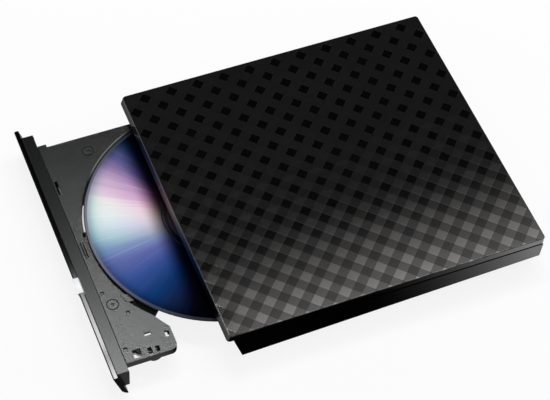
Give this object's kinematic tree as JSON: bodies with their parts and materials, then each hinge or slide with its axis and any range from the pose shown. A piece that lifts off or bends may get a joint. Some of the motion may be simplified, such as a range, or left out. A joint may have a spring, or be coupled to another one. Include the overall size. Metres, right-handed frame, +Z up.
{
  "type": "external disc drive",
  "caption": "Flat external drive for discs: a glossy housing with a tray that slides out and carries a disc on a motor spindle, with a laser pickup beneath it.",
  "frame": {"origin": "on the resting plane, under the middle of the whole length with the tray as drawn", "axes": "+Z up, -Y the way the tray slides out, +X to the right seen from the front"},
  "size_m": [0.1424, 0.208, 0.021],
  "materials": {
    "cover_gloss": "gloss",
    "housing_gloss": "gloss",
    "plate_gloss": "gloss",
    "bezel_matt": "satin",
    "tray_matt": "matte",
    "button_light": "gloss",
    "foot_rubber": "matte",
    "screw_steel": "satin",
    "black_screw_steel": "satin",
    "sheet_steel": "satin",
    "rail_steel": "satin",
    "guide_plastic": "satin",
    "white_plastic": "satin",
    "board_green": "satin",
    "chip_black": "matte",
    "connector_ivory": "satin",
    "socket_steel": "satin",
    "cable_amber": "satin",
    "lamp_clear": "gloss",
    "frame_metal": "satin",
    "damper_rubber": "matte",
    "rod_chrome": "polished",
    "motor_steel": "satin",
    "coil_copper": "satin",
    "magnet_black": "matte",
    "table_plastic": "satin",
    "pad_rubber": "matte",
    "disc_silver": "mirror",
    "sled_metal": "satin",
    "lens_glass": "polished",
    "solenoid_metal": "satin"
  },
  "bodies": {
    "housing": {"top_cover": "cover_gloss", "lower_housing": "housing_gloss", "rubber_feet": "foot_rubber", "housing_screws": "black_screw_steel", "drive_pan": "sheet_steel", "drive_lid": "sheet_steel", "lid_screws": "screw_steel", "drive_screws": "screw_steel", "guide_left": "guide_plastic", "guide_right": "guide_plastic", "latch_post": "screw_steel", "main_board": "board_green", "board_chips": "chip_black", "drive_connector": "connector_ivory", "bridge_connector": "connector_ivory", "bridge_board": "board_green", "bridge_chips": "chip_black", "bridge_screws": "screw_steel", "usb_socket": "socket_steel", "flex_cable": "cable_amber"},
    "left_rail": {"rail_left": "rail_steel"},
    "right_rail": {"rail_right": "rail_steel"},
    "sliding_tray": {"tray": "tray_matt", "bezel_plate": "plate_gloss", "bezel_body": "bezel_matt", "bezel_screws": "screw_steel", "button_board": "board_green", "eject_switch": "chip_black", "activity_led": "lamp_clear", "tray_bottom_cover": "sheet_steel", "tray_cover_screws": "screw_steel", "latch_spring": "screw_steel", "latch_solenoid": "solenoid_metal", "unit_frame": "frame_metal", "dampers": "damper_rubber", "damper_screws": "screw_steel", "guide_rods": "rod_chrome", "motor_base": "motor_steel", "stator": "coil_copper", "sled_motor": "motor_steel", "screw_bearing": "white_plastic"},
    "button": {"eject_button": "button_light"},
    "roller": {"guide_roller": "guide_plastic"},
    "latch": {"latch_lever": "rail_steel"},
    "spindle": {"spindle_rotor": "motor_steel", "rotor_magnet": "magnet_black", "turntable": "table_plastic", "turntable_pad": "pad_rubber", "hub_jaws": "table_plastic", "disc": "disc_silver"},
    "pickup": {"laser_sled": "sled_metal", "screw_follower": "white_plastic", "lens_base": "motor_steel"},
    "focus_lens": {"lens_holder": "table_plastic", "objective_lens": "lens_glass"},
    "screw": {"lead_screw": "motor_steel"}
  },
  "joints": [
    {"name": "tray_slide", "type": "slide", "parent": "housing", "child": "sliding_tray", "axis": [0, -1, 0], "range_m": [-0.053, 0.081], "deforming": ["flex_cable"]},
    {"name": "left_rail_slide", "type": "slide", "parent": "housing", "child": "left_rail", "axis": [0, -1, 0], "range_m": [-0.0265, 0.0405]},
    {"name": "right_rail_slide", "type": "slide", "parent": "housing", "child": "right_rail", "axis": [0, -1, 0], "range_m": [-0.0265, 0.0405]},
    {"name": "eject_press", "type": "slide", "parent": "sliding_tray", "child": "button", "axis": [0, 1, 0], "range_m": [0, 0.0006], "stiffness_N_per_m": 1500},
    {"name": "roller_turn", "type": "hinge", "parent": "sliding_tray", "child": "roller", "pos_m": [0.06205, -0.081, 0.0096], "axis": [1, 0, 0], "range_deg": [-1090, 1662]},
    {"name": "latch_swing", "type": "hinge", "parent": "sliding_tray", "child": "latch", "pos_m": [0.0565, -0.086, 0.0076], "axis": [0, 0, 1], "range_deg": [0, 9]},
    {"name": "spindle_spin", "type": "hinge", "parent": "sliding_tray", "child": "spindle", "pos_m": [0, -0.0295, 0.01], "axis": [0, 0, 1], "continuous": true},
    {"name": "pickup_slide", "type": "slide", "parent": "sliding_tray", "child": "pickup", "axis": [-0.7071, 0.7071, 0], "range_m": [-0.01, 0.0225]},
    {"name": "lens_focus", "type": "slide", "parent": "pickup", "child": "focus_lens", "axis": [0, 0, 1], "range_m": [-0.0004, 0.0004], "stiffness_N_per_m": 60},
    {"name": "lead_screw_turn", "type": "hinge", "parent": "sliding_tray", "child": "screw", "pos_m": [-0.00106, -0.00228, 0.0076], "axis": [-0.7071, 0.7071, 0], "range_deg": [-2705, 1205]}
  ],
  "couplings": [
    {"joint": "left_rail_slide", "follows": "tray_slide", "ratio": 0.5},
    {"joint": "right_rail_slide", "follows": "tray_slide", "ratio": 0.5},
    {"joint": "roller_turn", "follows": "tray_slide", "rad_per_m": 357.14},
    {"joint": "lead_screw_turn", "follows": "pickup_slide", "rad_per_m": -2094.4}
  ]
}
